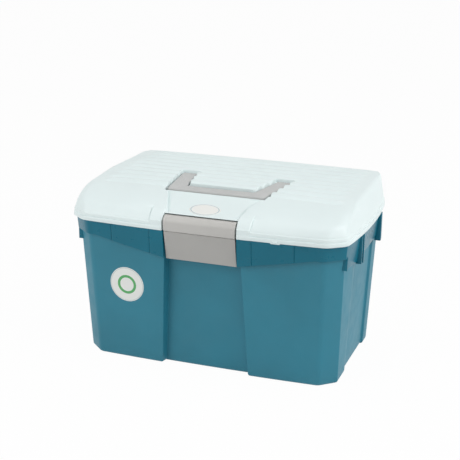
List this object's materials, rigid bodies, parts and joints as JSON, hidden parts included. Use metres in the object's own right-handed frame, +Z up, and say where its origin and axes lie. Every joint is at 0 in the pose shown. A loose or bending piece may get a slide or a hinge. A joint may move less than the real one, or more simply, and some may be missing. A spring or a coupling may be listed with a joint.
{
  "type": "horse grooming box",
  "caption": "Moulded grooming box with a drafted tub, hinged domed lid, front flap latch, folding carry handle and lift-out tray for brushes and bottles.",
  "frame": {"origin": "on the floor under the middle of the tub", "axes": "+X to the right along the width, -Y out of the front where the latch is, +Z up"},
  "size_m": [0.4, 0.2776, 0.2453],
  "materials": {
    "tub_plastic": "moulded polypropylene, satin teal",
    "lid_plastic": "moulded polypropylene, satin pale mint",
    "grey_plastic": "moulded plastic, satin warm grey",
    "tray_plastic": "moulded polypropylene, satin pale mint",
    "pin_steel": "drawn steel wire",
    "label_film": "self-adhesive film"
  },
  "bodies": {
    "tub": {"tub": "tub_plastic", "hinge_pin_left": "pin_steel", "hinge_pin_right": "pin_steel", "round_label": "label_film"},
    "lid": {"lid": "lid_plastic", "latch_pin": "pin_steel", "handle_pin_left": "pin_steel", "handle_pin_right": "pin_steel", "oval_label": "label_film"},
    "latch": {"latch": "grey_plastic"},
    "handle": {"handle": "grey_plastic"},
    "tray": {"tray": "tray_plastic", "divider_left": "tray_plastic", "divider_right": "tray_plastic"}
  },
  "joints": [
    {"name": "lid_hinge", "type": "hinge", "parent": "tub", "child": "lid", "pos_m": [0, 0.1395, 0.1996], "axis": [-1, 0, 0], "range_deg": [0, 105]},
    {"name": "latch_hinge", "type": "hinge", "parent": "lid", "child": "latch", "pos_m": [0, -0.1235, 0.211], "axis": [-1, 0, 0], "range_deg": [0, 110]},
    {"name": "handle_hinge", "type": "hinge", "parent": "lid", "child": "handle", "pos_m": [0, 0.014, 0.2368], "axis": [-1, 0, 0], "range_deg": [0, 90]},
    {"name": "tray_lift", "type": "slide", "parent": "tub", "child": "tray", "axis": [0, 0, 1], "range_m": [0, 0.03]}
  ]
}
